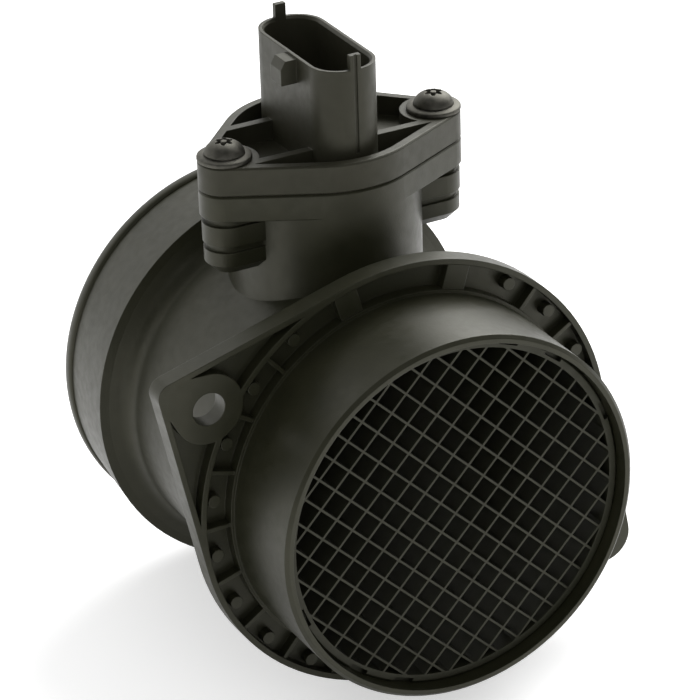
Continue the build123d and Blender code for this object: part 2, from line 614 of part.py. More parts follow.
with BuildPart() as sensor_chip:
    with BuildSketch(along_probe(HOLDER_X)):
        with Locations((-TOWER_Y + HOLDER_SETBACK, LANE_Z)):
            Rectangle(SENSOR_CHIP_WIDTH, SENSOR_CHIP_HEIGHT)
    extrude(amount=-SENSOR_CHIP_THICKNESS)

with BuildPart() as electronics_cover:
    with BuildSketch(along_probe(COVER_THICKNESS - PROBE_FACE)):
        with Locations((-TOWER_Y, CHAMBER_MIDDLE)):
            Rectangle(CHAMBER_LENGTH + 2 * COVER_LAND, CHAMBER_HEIGHT + 2 * COVER_LAND)
    extrude(amount=COVER_THICKNESS)

with BuildPart() as channel_cover:
    with BuildSketch(along_probe(COVER_THICKNESS - PROBE_FACE)):
        with Locations((-TOWER_Y, CHANNEL_CENTRE)):
            Rectangle(CHAMBER_LENGTH + 2 * COVER_LAND, 2 * (CHANNEL_RADIUS + COVER_LAND))
    extrude(amount=COVER_THICKNESS)

# Bead of the air temperature sensor, held clear of the probe's far side by its two flat leads
with BuildPart() as temperature_sensor:
    with BuildSketch(Plane.XZ.offset(-TOWER_Y)):
        with Locations((PROBE_FACE + BEAD_STANDOFF, BEAD_Z)):
            Rectangle(LEAD_THICKNESS, LEAD_SPAN + LEAD_THICKNESS)
        for side in (-1, 1):
            with Locations((PROBE_FACE - LEAD_DEPTH, BEAD_Z + side * LEAD_SPAN / 2)):
                Rectangle(LEAD_DEPTH + BEAD_STANDOFF, LEAD_THICKNESS, align=(Align.MIN, Align.CENTER))
    extrude(amount=LEAD_THICKNESS / 2, both=True)
    with BuildSketch(Plane.XY.offset(BEAD_Z - BEAD_LENGTH / 2)):
        with Locations((PROBE_FACE + BEAD_STANDOFF, TOWER_Y)):
            RegularPolygon(BEAD_RADIUS, BEAD_SIDES)
    extrude(amount=BEAD_LENGTH)

# ---- Screws -------------------------------------------------------------------------

with BuildPart() as flange_screws:
    with BuildSketch(Plane.XY.offset(FLANGE_TOP)):
        with Locations(*screw_points):
            Circle(WASHER_RADIUS)
    extrude(amount=WASHER_THICKNESS)
    with BuildSketch(Plane.XY.offset(FLANGE_TOP + WASHER_THICKNESS)):
        with Locations(*screw_points):
            Circle(HEAD_RADIUS)
    extrude(amount=HEAD_HEIGHT)
    chamfer(flange_screws.edges().group_by(Axis.Z)[-1], HEAD_BEVEL)
    with BuildSketch(Plane.XY.offset(FLANGE_TOP)):
        with Locations(*screw_points):
            Circle(THREAD_RADIUS)
    extrude(amount=-SCREW_LENGTH)
    # Six-lobe recess round a centre pin
    with BuildSketch(Plane.XY.offset(FLANGE_TOP + WASHER_THICKNESS + HEAD_HEIGHT)):
        with Locations(*screw_points):
            with PolarLocations(0, 3, angular_range=180):
                Rectangle(LOBE_LENGTH, LOBE_WIDTH)
            RegularPolygon(LOBE_PIN_RADIUS, LOBE_PIN_SIDES, mode=Mode.SUBTRACT)
    extrude(amount=-LOBE_DEPTH, mode=Mode.SUBTRACT)

# ---- Labels and files ---------------------------------------------------------------

nodes = {
    "duct_housing": duct_housing.part,
    "flow_grid": flow_grid.part,
    "screen_frame": screen_frame.part,
    "wire_screen": wire_screen.part,
    "sensor_body": sensor_body.part,
    "plug_seal": plug_seal.part,
    "carrier_plate": carrier_plate.part,
    "circuit_board": circuit_board.part,
    "control_chip": control_chip.part,
    "chip_capacitors": chip_capacitors.part,
    "sensor_holder": sensor_holder.part,
    "sensor_chip": sensor_chip.part,
    "electronics_cover": electronics_cover.part,
    "channel_cover": channel_cover.part,
    "temperature_sensor": temperature_sensor.part,
    "flange_screws": flange_screws.part,
}
for number, terminal_part in enumerate(terminals, start=1):
    nodes[f"terminal_{number}"] = terminal_part

os.makedirs("parts", exist_ok=True)
for name, part in nodes.items():
    part.label = name
    export_step(part, f"parts/{name}.step")
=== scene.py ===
"""Looks of a hot-film mass airflow sensor: a black moulded duct with a plug-in sensor screwed on top.

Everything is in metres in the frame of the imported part: origin at the centre of the inlet mouth,
+Y along the air flow and +Z up through the connector socket.
"""

import math

import bmesh
import bpy
import numpy as np
from mathutils import Matrix, Vector


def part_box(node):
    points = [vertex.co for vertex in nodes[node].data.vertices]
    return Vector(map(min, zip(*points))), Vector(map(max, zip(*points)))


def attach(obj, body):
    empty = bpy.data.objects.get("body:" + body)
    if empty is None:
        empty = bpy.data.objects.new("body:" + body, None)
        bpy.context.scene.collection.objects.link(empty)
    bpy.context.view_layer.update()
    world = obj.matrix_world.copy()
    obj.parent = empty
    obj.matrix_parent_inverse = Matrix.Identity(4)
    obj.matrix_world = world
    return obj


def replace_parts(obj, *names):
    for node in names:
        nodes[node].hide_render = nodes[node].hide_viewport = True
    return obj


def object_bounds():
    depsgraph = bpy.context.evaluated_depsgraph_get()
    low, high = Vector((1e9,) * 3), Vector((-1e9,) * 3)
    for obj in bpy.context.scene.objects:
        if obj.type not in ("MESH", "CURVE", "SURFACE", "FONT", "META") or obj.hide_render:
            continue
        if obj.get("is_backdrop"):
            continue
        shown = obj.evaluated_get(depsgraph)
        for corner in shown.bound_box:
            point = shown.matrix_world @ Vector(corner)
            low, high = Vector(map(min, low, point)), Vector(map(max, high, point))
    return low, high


MM = 0.001
FULL_TURN = 2 * np.pi
POLE_GAP = 0.001 * MM  # points of a pole lie closer than this

# Camera: seen from the inlet's left and above, with a long lens; angles in degrees
CAMERA_AZIMUTH = -27.366
CAMERA_ELEVATION = 26.598
CAMERA_ROLL = -1.760
CAMERA_DISTANCE = 905.97 * MM  # along the view, to the plane of the mouth's centre
MOUTH_RIGHT = 25.52 * MM  # the mouth's centre, right of and below the middle of the view
MOUTH_BELOW = 38.33 * MM
SENSOR_WIDTH = 36.0
LENS = 205.98
NEAREST_SEEN = 10 * MM

# Moulded plastic: its clouds of shade, its patches of gloss and its eroded skin
CLOUD_SIZE = 12 * MM
GLOSS_PATCH = 2.2 * MM
GLOSS_SPREAD = (-0.04, 0.05)
SKIN_HEIGHT = 0.03 * MM
PLASTIC_IOR = 1.55
PLASTIC_SHEEN = "f4f2e0"

# Steel: its clouds of shade and gloss, its rounded edges, and how deep the clouds stand
STEEL_CLOUD = 1.6 * MM
STEEL_GLOSS_SPREAD = (-0.08, 0.1)
STEEL_EDGE = 0.25 * MM
STEEL_HEIGHT = 0.03 * MM

# The small parts' faint relief, and how finely every rounded edge is worked out
SMALL_HEIGHT = 0.01 * MM
BEVEL_SAMPLES = 6

# Where the duct's wall curves up to the barb: from and to along the flow, how steep it ends and how
# fast it bends, how far out it lies, and the tower that it leaves alone
SHOULDER = (79.5 * MM, 86.9 * MM)
SHOULDER_STEEP = math.radians(68)
SHOULDER_BEND = 1.3
SHOULDER_REACH = (42.5 * MM, 49.9 * MM)
TOWER_AXIS = (0, 64.1 * MM, 0)
TOWER_RADIUS = 23.1 * MM

# Woven wire cloth behind the grid, drawn coarser than a real one: as fine as a render can show
CLOTH_PITCH = 1.45 * MM
WIRE_RADIUS = 0.13 * MM
WIRE_SIDES = 5
STEPS_PER_CROSSING = 3
FEWEST_STEPS = 4

# Screws: a domed head with a six-lobe recess and pin, on a loose washer
SCREW_SEGMENTS = 96
WASHER_RADIUS = 6.4 * MM
WASHER_THICKNESS = 1.3 * MM
# Its section in mm as (radius, height): coned a little on top, with its edges rolled over
WASHER_SECTION = (
    (2.1, 0.0),
    (6.18, 0.0),
    (6.34, 0.06),
    (6.4, 0.22),
    (6.4, 0.715),
    (6.33, 0.91),
    (6.18, 1.04),
    (5.0, 1.261),
    (4.6, 1.3),
    (2.1, 1.3),
    (2.1, 0.0),
)
HEAD_RADIUS = 4.8 * MM
HEAD_HEIGHT = 3.0 * MM
DOME_POWERS = (2.6, 0.6)
LOBES = 6
LOBE_RADIUS = 1.75 * MM
LOBE_SWING = 0.4 * MM
LOBE_DEPTH = 1.5 * MM
LOBE_WALL = 0.08 * MM
PIN_RADIUS = 0.75 * MM
# Rings of the head in mm as (first radius, last radius, count), closest at the pin and the lobes
HEAD_RINGS = ((0, 0.5, 4), (0.62, 0.9, 6), (1.05, 2.4, 34), (2.6, HEAD_RADIUS / MM, 26))
SHANK_SEGMENTS = 24
SHANK_RINGS = 160
SHANK_RADIUS = 1.95 * MM
SHANK_LENGTH = 24.0 * MM
SHANK_POINT = 2.5 * MM
POINT_TAPER = 0.95
THREAD_DEPTH = 0.35 * MM
THREAD_PITCH = 1.4 * MM
THREAD_SHARPNESS = 0.7

# Air temperature sensor: a glass bead on two round leads
GLASS_LENGTH = 4.0 * MM
GLASS_RADIUS = 1.3 * MM
GLASS_BLUNTNESS = 0.8
GLASS_RINGS = 25
GLASS_SEGMENTS = 32
LEAD_RADIUS = 0.3 * MM
LEAD_START = 0.4  # share of the glass's length from its middle to where a lead starts
LEAD_SIDES = 12
BEND_RADIUS = 0.8 * MM
BEND_STEPS = 9

# Bead round the barb's end: its section in mm as (along the flow, out from the barb's slope)
BARB_CREST = (87.5 * MM, 49.7 * MM)
BARB_TAPER = 2.7 / 25.2
RIM_SECTION = (
    (107.9, -0.6),
    (107.9, 0.15),
    (108.3, 0.55),
    (108.9, 0.78),
    (109.6, 0.86),
    (110.4, 0.86),
    (111.2, 0.68),
    (111.7, 0.35),
    (111.9, 0.0),
    (111.9, -0.6),
    (107.9, -0.6),
)
RIM_SEGMENTS = 160

# Surround: even light, and a white sweep behind and below that glossy surfaces mirror
WHITE = (1.0, 1.0, 1.0, 1.0)
SWEEP_SIDE = (-0.05, 0.8, -0.6)
SWEEP_EDGE = (-0.35, 0.45)
SWEEP_MIRRORED = (0.08, 1.0)
ROOM_LIGHT = 0.65
FLOOR_GLOW = 0.5
FLOOR_MIRRORED = 0.4  # share of that glow in a reflection, where floor and glow together are white
FLOOR_REACH = 4.0
FLOOR_GRAIN = 60.0  # patches of shade from one edge of the floor to the other
LAMP_AIM = (0.0, 0.05, 0.03)

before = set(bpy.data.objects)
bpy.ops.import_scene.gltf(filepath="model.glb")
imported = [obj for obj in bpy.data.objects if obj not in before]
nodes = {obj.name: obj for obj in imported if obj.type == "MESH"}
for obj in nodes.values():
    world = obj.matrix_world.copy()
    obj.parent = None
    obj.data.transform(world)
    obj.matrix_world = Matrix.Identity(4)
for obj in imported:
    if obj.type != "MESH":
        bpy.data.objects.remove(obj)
cad_low, cad_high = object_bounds()


# ---- Small helpers --------------------------------------------------------------------


def srgb(text):
    """Linear red, green, blue and alpha of an sRGB hex colour such as "1c1b19"."""
    shares = [int(text[k : k + 2], 16) / 255 for k in (0, 2, 4)]
    return (*[c / 12.92 if c <= 0.04045 else ((c + 0.055) / 1.055) ** 2.4 for c in shares], 1.0)


def add(tree, kind, inputs=None, stops=(), **settings):
    """One shader node, with its settings, and each input set to a value or linked to a socket.

    The stops of a colour ramp are pairs of a place and a hex colour or a grey value.
    """
    made = tree.nodes.new("ShaderNode" + kind)
    for name, value in settings.items():
        setattr(made, name, value)
    for name, value in (inputs or {}).items():
        if isinstance(value, bpy.types.NodeSocket):
            tree.links.new(value, made.inputs[name])
        else:
            made.inputs[name].default_value = value
    for number, (place, colour) in enumerate(stops):
        element = made.color_ramp.elements[number]
        element.position = place
        element.color = srgb(colour) if isinstance(colour, str) else (colour, colour, colour, 1.0)
    return made


def new_material(name):
    """An empty node material, and its tree."""
    material = bpy.data.materials.new(name)
    material.use_nodes = True
    material.node_tree.nodes.clear()
    return material, material.node_tree


def mesh_piece(name, vertices, faces, material, slot):
    """A smooth piece from arrays of vertices and quads, its poles merged, which rides on the part."""
    mesh = bpy.data.meshes.new(name)
    mesh.from_pydata(vertices.tolist(), [], faces.tolist())
    shell = bmesh.new()
    shell.from_mesh(mesh)
    bmesh.ops.remove_doubles(shell, verts=shell.verts, dist=POLE_GAP)
    shell.to_mesh(mesh)
    shell.free()
    mesh.shade_smooth()
    mesh.materials.append(material)
    piece = bpy.data.objects.new(name, mesh)
    bpy.context.scene.collection.objects.link(piece)
    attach(piece, "root")
    return piece


# ---- Materials ------------------------------------------------------------------------


def barb_normal(tree, place, plain):
    """The plain normal, but curved where the duct's wall rises to the barb's shoulder.

    There it is cos a * radial - sin a * flow axis, with a = SHOULDER_STEEP * s^SHOULDER_BEND and s a
    smooth step from 0 to 1 along SHOULDER. The bore inside and the tower keep their own normals.
    """
    cut = add(tree, "SeparateXYZ", {0: place})
    x, y, z = cut.outputs
    flat = add(tree, "CombineXYZ", {"X": x, "Z": z}).outputs[0]
    reach = add(tree, "VectorMath", {0: flat}, operation="LENGTH").outputs["Value"]
    radial = add(tree, "VectorMath", {0: flat}, operation="NORMALIZE").outputs["Vector"]
    span = {"Value": y, "From Min": SHOULDER[0], "From Max": SHOULDER[1]}
    rise = add(tree, "MapRange", span, interpolation_type="SMOOTHSTEP").outputs[0]
    bend = add(tree, "Math", {0: rise, 1: SHOULDER_BEND}, operation="POWER").outputs[0]
    angle = add(tree, "Math", {0: bend, 1: SHOULDER_STEEP}, operation="MULTIPLY").outputs[0]
    outward = add(tree, "Math", {0: angle}, operation="COSINE").outputs[0]
    upstream = add(tree, "Math", {0: angle}, operation="SINE").outputs[0]
    wall = add(tree, "VectorMath", {0: radial, "Scale": outward}, operation="SCALE").outputs["Vector"]
    against = {0: (0, -1, 0), "Scale": upstream}
    face = add(tree, "VectorMath", against, operation="SCALE").outputs["Vector"]
    curved = add(tree, "VectorMath", {0: wall, 1: face}, operation="ADD").outputs["Vector"]
    level = add(tree, "CombineXYZ", {"X": x, "Y": y}).outputs[0]
    tower = add(tree, "VectorMath", {0: level, 1: TOWER_AXIS}, operation="DISTANCE").outputs["Value"]
    off_tower = add(tree, "Math", {0: tower, 1: TOWER_RADIUS}, operation="GREATER_THAN").outputs[0]
    below = add(tree, "Math", {0: z, 1: 0.0}, operation="LESS_THAN").outputs[0]
    where = add(tree, "Math", {0: off_tower, 1: below}, operation="MAXIMUM").outputs[0]
    for value, (first, last) in ((y, SHOULDER), (reach, SHOULDER_REACH)):
        for end, side in ((first, "GREATER_THAN"), (last, "LESS_THAN")):
            inside = add(tree, "Math", {0: value, 1: end}, operation=side).outputs[0]
            where = add(tree, "Math", {0: where, 1: inside}, operation="MULTIPLY").outputs[0]
    mixed = add(tree, "Mix", {"Factor": where, "A": plain, "B": curved}, data_type="VECTOR")
    return mixed.outputs["Result"]


def moulded_plastic(name, dark, light, roughness, grain, edge, barb=False):
    """Injection-moulded black plastic, with soft edges as moulding leaves them.

    The mould's eroded skin leaves a fine even grain, drawn coarse enough to show. The melt's flow
    leaves faint clouds of shade and gloss, and a filler near the surface greys the black a little.
    """
    material, tree = new_material(name)
    place = add(tree, "TexCoord").outputs["Object"]
    melt = {"Vector": place, "Scale": 1 / CLOUD_SIZE, "Detail": 4.0, "Roughness": 0.6}
    clouds = add(tree, "TexNoise", melt).outputs["Fac"]
    colour = add(tree, "ValToRGB", {"Fac": clouds}, stops=((0.3, dark), (0.72, light)))
    patches = {"Vector": place, "Scale": 1 / GLOSS_PATCH, "Detail": 3.0}
    fine = add(tree, "TexNoise", patches).outputs["Fac"]
    spread = {"Value": fine, "From Min": 0.3, "From Max": 0.7}
    spread["To Min"], spread["To Max"] = (roughness + share for share in GLOSS_SPREAD)
    gloss = add(tree, "MapRange", spread)
    skin = add(tree, "TexVoronoi", {"Vector": place, "Scale": 1 / grain}, feature="SMOOTH_F1")
    rounded = add(tree, "Bevel", {"Radius": edge}, samples=BEVEL_SAMPLES).outputs[0]
    if barb:
        rounded = barb_normal(tree, place, rounded)
    eroded = {"Height": skin.outputs["Distance"], "Normal": rounded, "Strength": 0.35}
    relief = add(tree, "Bump", {**eroded, "Distance": SKIN_HEIGHT})
    surface = {"Base Color": colour.outputs["Color"], "Roughness": gloss.outputs["Result"]}
    surface["Normal"] = relief.outputs[0]
    surface["IOR"] = PLASTIC_IOR
    surface["Specular Tint"] = srgb(PLASTIC_SHEEN)
    shader = add(tree, "BsdfPrincipled", surface)
    add(tree, "OutputMaterial", {"Surface": shader.outputs[0]})
    return material


def cloudy_steel(name, colour, worn, roughness):
    """Steel, headed or drawn: faint clouds, darker and smoother or lighter and duller."""
    material, tree = new_material(name)
    place = add(tree, "TexCoord").outputs["Object"]
    coat = {"Vector": place, "Scale": 1 / STEEL_CLOUD, "Detail": 5.0}
    clouds = add(tree, "TexNoise", coat).outputs["Fac"]
    tone = add(tree, "ValToRGB", {"Fac": clouds}, stops=((0.35, colour), (0.75, worn)))
    smooth, dull = (roughness + share for share in STEEL_GLOSS_SPREAD)
    gloss = add(tree, "ValToRGB", {"Fac": clouds}, stops=((0.3, smooth), (0.7, dull)))
    rounded = add(tree, "Bevel", {"Radius": STEEL_EDGE}, samples=BEVEL_SAMPLES).outputs[0]
    rubbed = {"Height": clouds, "Normal": rounded, "Strength": 0.2, "Distance": STEEL_HEIGHT}
    relief = add(tree, "Bump", rubbed)
    surface = {"Base Color": tone.outputs["Color"], "Roughness": gloss.outputs["Color"]}
    surface["Metallic"] = 1.0
    surface["Normal"] = relief.outputs[0]
    shader = add(tree, "BsdfPrincipled", surface)
    add(tree, "OutputMaterial", {"Surface": shader.outputs[0]})
    return material


def plain_skin(name, colour, second, size, roughness, metallic=0.0):
    """A small part's surface: two near shades in patches of the given size, with a faint relief."""
    material, tree = new_material(name)
    place = add(tree, "TexCoord").outputs["Object"]
    blotches = {"Vector": place, "Scale": 1 / size, "Detail": 4.0}
    patches = add(tree, "TexNoise", blotches).outputs["Fac"]
    tone = add(tree, "ValToRGB", {"Fac": patches}, stops=((0.35, colour), (0.7, second)))
    relief = add(tree, "Bump", {"Height": patches, "Strength": 0.3, "Distance": SMALL_HEIGHT})
    surface = {"Base Color": tone.outputs["Color"], "Roughness": roughness, "Metallic": metallic}
    shader = add(tree, "BsdfPrincipled", {**surface, "Normal": relief.outputs[0]})
    add(tree, "OutputMaterial", {"Surface": shader.outputs[0]})
    return material


# Duct: moulded glass-filled polyester, near black with an olive cast, satin, with soft edges
duct_plastic = moulded_plastic(
    "moulded_black_polyester", "1f2014", "28281b", 0.4, 0.45 * MM, 0.3 * MM, barb=True
)
# Sensor: moulded glass-filled polyester again, a shade greyer and duller, with a finer grain
sensor_plastic = moulded_plastic(
    "moulded_black_sensor_polyester", "25251b", "2e2d23", 0.45, 0.4 * MM, 0.3 * MM
)
# Grid and screen frame: plain moulded plastic, a deeper and duller black, with crisp edges
grid_plastic = moulded_plastic("moulded_black_grid", "1a1b0f", "212216", 0.5, 0.5 * MM, 0.12 * MM)
# Screws: cold-headed steel with a dark zinc coat, dull grey with soft glints
screw_steel = cloudy_steel("zinc_plated_steel", "5c5b54", "7b7971", 0.58)
# Cloth: drawn stainless wire, a warm grey that glints where the wires cross
wire_steel = cloudy_steel("drawn_stainless_wire", "77765a", "9b987c", 0.35)
# Seal: moulded fluorosilicone, a cool dull black
seal_rubber = plain_skin("fluorosilicone_rubber", "16181a", "1f2224", 3 * MM, 0.6)
# Terminals: stamped brass under tin, a pale warm metal
terminal_tin = plain_skin("tinned_brass", "b4ab93", "c9c2b0", 1.5 * MM, 0.3, metallic=1.0)
# Carrier: rolled aluminium sheet, light and satin
carrier_metal = plain_skin("rolled_aluminium", "a9abad", "c3c5c6", 2 * MM, 0.38, metallic=1.0)
# Board: fired alumina, off-white and matt
board_ceramic = plain_skin("thick_film_ceramic", "d6d3c4", "e4e1d6", 2 * MM, 0.5)
# Chip: moulded epoxy, plain matt black
chip_epoxy = plain_skin("moulded_epoxy", "1a1a1a", "262625", 0.6 * MM, 0.55)
# Capacitors: sintered ceramic, a biscuit brown
capacitor_body = plain_skin("sintered_ceramic", "8a6f4d", "9c8160", 0.8 * MM, 0.5)
# Measuring chip: polished silicon, a blue-grey mirror
silicon = plain_skin("polished_silicon", "39404f", "4b5468", 1.2 * MM, 0.15, metallic=0.6)
# Temperature bead: glass fused round the sensing element, dark and glossy
bead_glass = plain_skin("glass_bead", "1c2430", "2a3442", 0.8 * MM, 0.12)
# Its leads: drawn wire under nickel, dull and pale
lead_wire = plain_skin("nickel_lead_wire", "8f8c84", "a5a29a", 1.0 * MM, 0.35, metallic=1.0)

finishes = {
    "duct_housing": duct_plastic,
    "flow_grid": grid_plastic,
    "screen_frame": grid_plastic,
    "wire_screen": wire_steel,
    "sensor_body": sensor_plastic,
    "electronics_cover": sensor_plastic,
    "channel_cover": sensor_plastic,
    "sensor_holder": sensor_plastic,
    "plug_seal": seal_rubber,
    "carrier_plate": carrier_metal,
    "circuit_board": board_ceramic,
    "control_chip": chip_epoxy,
    "chip_capacitors": capacitor_body,
    "sensor_chip": silicon,
    "temperature_sensor": bead_glass,
    "flange_screws": screw_steel,
}
for name, node in nodes.items():
    finish = terminal_tin if name.startswith("terminal_") else finishes[name]
    node.data.materials.clear()
    node.data.materials.append(finish)


# ---- Surfaces -------------------------------------------------------------------------


def grid_quads(rows, columns):
    """Quads of a grid of points whose columns close on themselves."""
    index = np.arange(rows * columns).reshape(rows, columns)
    following = np.roll(index, -1, axis=1)
    return np.stack([index[:-1], following[:-1], following[1:], index[1:]], axis=-1).reshape(-1, 4)


def joined(parts):
    """One array of vertices and one of quads from several pairs of them."""
    starts = np.cumsum([0] + [len(vertices) for vertices, _ in parts[:-1]])
    quads = [faces + start for (_, faces), start in zip(parts, starts)]
    return np.concatenate([vertices for vertices, _ in parts]), np.concatenate(quads)


def tube(path, radius, sides):
    """Vertices and quads of a round tube along a path of points.

    Each ring is centre + radius * (cos a * n + sin a * b), where n and b are square to the path's
    direction. Each end closes on its centre.
    """
    along = np.gradient(path, axis=0)
    along /= np.linalg.norm(along, axis=1, keepdims=True)
    across = np.cross(along, np.array([0.0, 1.0, 0.0]))
    across /= np.linalg.norm(across, axis=1, keepdims=True)
    other = np.cross(along, across)
    ends = [np.concatenate([part[:1], part, part[-1:]]) for part in (path, across, other)]
    centre, across, other = (part[:, None] for part in ends)
    reach = np.full((len(centre), 1, 1), radius)
    reach[[0, -1]] = 0
    angle = np.linspace(0, FULL_TURN, sides, endpoint=False)[:, None]
    rings = centre + reach * (np.cos(angle) * across + np.sin(angle) * other)
    return rings.reshape(-1, 3), grid_quads(*rings.shape[:2])


def lathe(profile, segments, centre, axis=2):
    """Vertices and quads of a lathe surface.

    profile is an array of (radius, height); point (i, k) is radius_i * (cos a_k, sin a_k) square to
    the axis and height_i along it, moved to centre. A radius of 0 at an end closes it with a pole.
    """
    angle = np.linspace(0, FULL_TURN, segments, endpoint=False)
    radius, height = profile[:, :1], profile[:, 1:]
    flat = [radius * np.cos(angle), radius * np.sin(angle)]
    flat.insert(axis, np.broadcast_to(height, flat[0].shape))
    points = np.stack(flat, axis=-1) + np.array(centre)
    quads = grid_quads(*flat[0].shape)
    return points.reshape(-1, 3), quads[:, ::-1] if axis == 1 else quads


def smooth_step(value, low, high):
    """0 below low, 1 above high, and 3 t^2 - 2 t^3 between them."""
    t = np.clip((value - low) / (high - low), 0, 1)
    return t * t * (3 - 2 * t)


# ---- Woven wire cloth -----------------------------------------------------------------


def woven_wires(crosswise):
    """One set of the cloth's wires: a cosine along each wire, over and under the wires it crosses."""
    low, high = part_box("wire_screen")
    outside = (high.x - low.x) / 2
    middle = (low.y + high.y) / 2
    count = int(outside / CLOTH_PITCH)
    wires = []
    for step in range(-count, count + 1):
        side = step * CLOTH_PITCH
        half = math.sqrt(max(outside**2 - side**2, 0)) - WIRE_RADIUS
        if half < CLOTH_PITCH:
            continue
        steps = max(FEWEST_STEPS, int(2 * half / CLOTH_PITCH * STEPS_PER_CROSSING))
        run = np.linspace(-half, half, steps)
        phase = np.pi * ((step + 1) % 2 + crosswise)
        wave = middle + WIRE_RADIUS * np.cos(np.pi * run / CLOTH_PITCH + phase)
        flat = np.full_like(run, side)
        path = [run, wave, flat] if crosswise else [flat, wave, run]
        wires.append(tube(np.stack(path, axis=-1), WIRE_RADIUS, WIRE_SIDES))
    return joined(wires)


for name, crosswise in (("wire_cloth_warp", False), ("wire_cloth_weft", True)):
    cloth = mesh_piece(name, *woven_wires(crosswise), wire_steel, "wire_steel")
    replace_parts(cloth, "wire_screen")


# ---- Screws ---------------------------------------------------------------------------


def screw_head(centre):
    """The head's skin on a polar grid, from its middle out over the dome, and back under it.

    Its height is the dome HEAD_HEIGHT * (1 - (r / HEAD_RADIUS)^p)^q with p and q of DOME_POWERS, less
    LOBE_DEPTH inside the outline r = LOBE_RADIUS + LOBE_SWING * cos(LOBES * a), but not at the pin.
    """
    angle = np.linspace(0, FULL_TURN, SCREW_SEGMENTS, endpoint=False)[None]
    radius = np.concatenate([np.linspace(*ring) for ring in HEAD_RINGS])[:, None] * MM
    flatness, fullness = DOME_POWERS
    dome = HEAD_HEIGHT * (1 - (radius / HEAD_RADIUS) ** flatness) ** fullness
    outline = LOBE_RADIUS + LOBE_SWING * np.cos(LOBES * angle)
    recess = smooth_step(outline - radius, -LOBE_WALL, LOBE_WALL)
    round_pin = smooth_step(radius - PIN_RADIUS, -LOBE_WALL, LOBE_WALL)
    height = dome - LOBE_DEPTH * recess * round_pin
    points = np.stack([radius * np.cos(angle), radius * np.sin(angle), height], axis=-1)
    points = np.concatenate([points, 0 * points[:1]]) + np.array(centre)
    return points.reshape(-1, 3), grid_quads(*points.shape[:2])[:, ::-1]


def screw_washer(centre):
    """Lathe surface of the loose washer: WASHER_SECTION turned about the vertical."""
    return lathe(np.array(WASHER_SECTION) * MM, SCREW_SEGMENTS, centre)


def screw_shank(centre):
    """The thread as one surface: its radius falls by THREAD_DEPTH as a sharp wave along a helix.

    The wave is |2 f - 1|^THREAD_SHARPNESS of f, the fraction of height / THREAD_PITCH - angle / full
    turn. Over SHANK_POINT the radius falls by the share POINT_TAPER, and each end closes.
    """
    angle = np.linspace(0, FULL_TURN, SHANK_SEGMENTS, endpoint=False)[None]
    height = np.linspace(0, SHANK_LENGTH, SHANK_RINGS)[:, None]
    turn = (height / THREAD_PITCH - angle / FULL_TURN) % 1
    wave = np.abs(2 * turn - 1) ** THREAD_SHARPNESS
    point = 1 - smooth_step(height, SHANK_LENGTH - SHANK_POINT, SHANK_LENGTH) * POINT_TAPER
    radius = (SHANK_RADIUS - THREAD_DEPTH * wave) * point
    points = np.stack([radius * np.cos(angle), radius * np.sin(angle), -height + 0 * angle], axis=-1)
    tips = [points[:1] * (0, 0, 1), points, points[-1:] * (0, 0, 1)]
    points = np.concatenate(tips) + np.array(centre)
    return points.reshape(-1, 3), grid_quads(*points.shape[:2])[:, ::-1]


low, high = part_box("flange_screws")
seat = high.z - HEAD_HEIGHT - WASHER_THICKNESS
middle = (low.y + high.y) / 2
for number, x in enumerate((low.x + WASHER_RADIUS, high.x - WASHER_RADIUS), start=1):
    surfaces = {
        f"screw_head_{number}": screw_head((x, middle, seat + WASHER_THICKNESS)),
        f"screw_washer_{number}": screw_washer((x, middle, seat)),
        f"screw_thread_{number}": screw_shank((x, middle, seat)),
    }
    for name, surface in surfaces.items():
        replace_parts(mesh_piece(name, *surface, screw_steel, "screw_steel"), "flange_screws")


# ---- Air temperature sensor -----------------------------------------------------------


def glass_bead(centre):
    """A blunt drop on the vertical: radius GLASS_RADIUS * sin(t)^GLASS_BLUNTNESS, height by cos t."""
    t = np.linspace(0, np.pi, GLASS_RINGS)
    radius = GLASS_RADIUS * np.sin(t) ** GLASS_BLUNTNESS
    radius[[0, -1]] = 0
    return lathe(np.stack([radius, -GLASS_LENGTH / 2 * np.cos(t)], axis=-1), GLASS_SEGMENTS, centre)


def bead_leads(centre, reach, root):
    """Two leads, each from the bead straight up or down, round a quarter bend, and into the probe."""
    bend = np.linspace(0, np.pi / 2, BEND_STEPS)
    leads = []
    for side in (-1, 1):
        corner = np.zeros((BEND_STEPS + 2, 3)) + (centre.x, centre.y, centre.z)
        corner[0, 2] += side * LEAD_START * GLASS_LENGTH
        corner[1:-1, 0] += BEND_RADIUS * (np.cos(bend) - 1)
        corner[1:-1, 2] += side * (reach - BEND_RADIUS + BEND_RADIUS * np.sin(bend))
        corner[-1] = (root, centre.y, centre.z + side * reach)
        leads.append(tube(corner, LEAD_RADIUS, LEAD_SIDES))
    return joined(leads)


low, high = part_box("temperature_sensor")
centre = Vector((high.x - GLASS_RADIUS, (low.y + high.y) / 2, (low.z + high.z) / 2))
glass = mesh_piece("glass_bead", *glass_bead(centre), bead_glass, "bead_glass")
lead_reach = (high.z - low.z) / 2 - LEAD_RADIUS
leads = mesh_piece("bead_leads", *bead_leads(centre, lead_reach, low.x), lead_wire, "bead_glass")
for piece in (glass, leads):
    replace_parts(piece, "temperature_sensor")


# ---- Bead round the barb's end --------------------------------------------------------


def barb_rim():
    """Lathe surface about the flow axis: RIM_SECTION laid on the barb's straight slope."""
    section = np.array(RIM_SECTION) * MM
    slope = BARB_CREST[1] - (section[:, :1] - BARB_CREST[0]) * BARB_TAPER
    return lathe(np.hstack([slope + section[:, 1:], section[:, :1]]), RIM_SEGMENTS, (0, 0, 0), axis=1)


mesh_piece("barb_end_bead", *barb_rim(), duct_plastic, "black_plastic")


# ---- Camera, floor and lights ---------------------------------------------------------


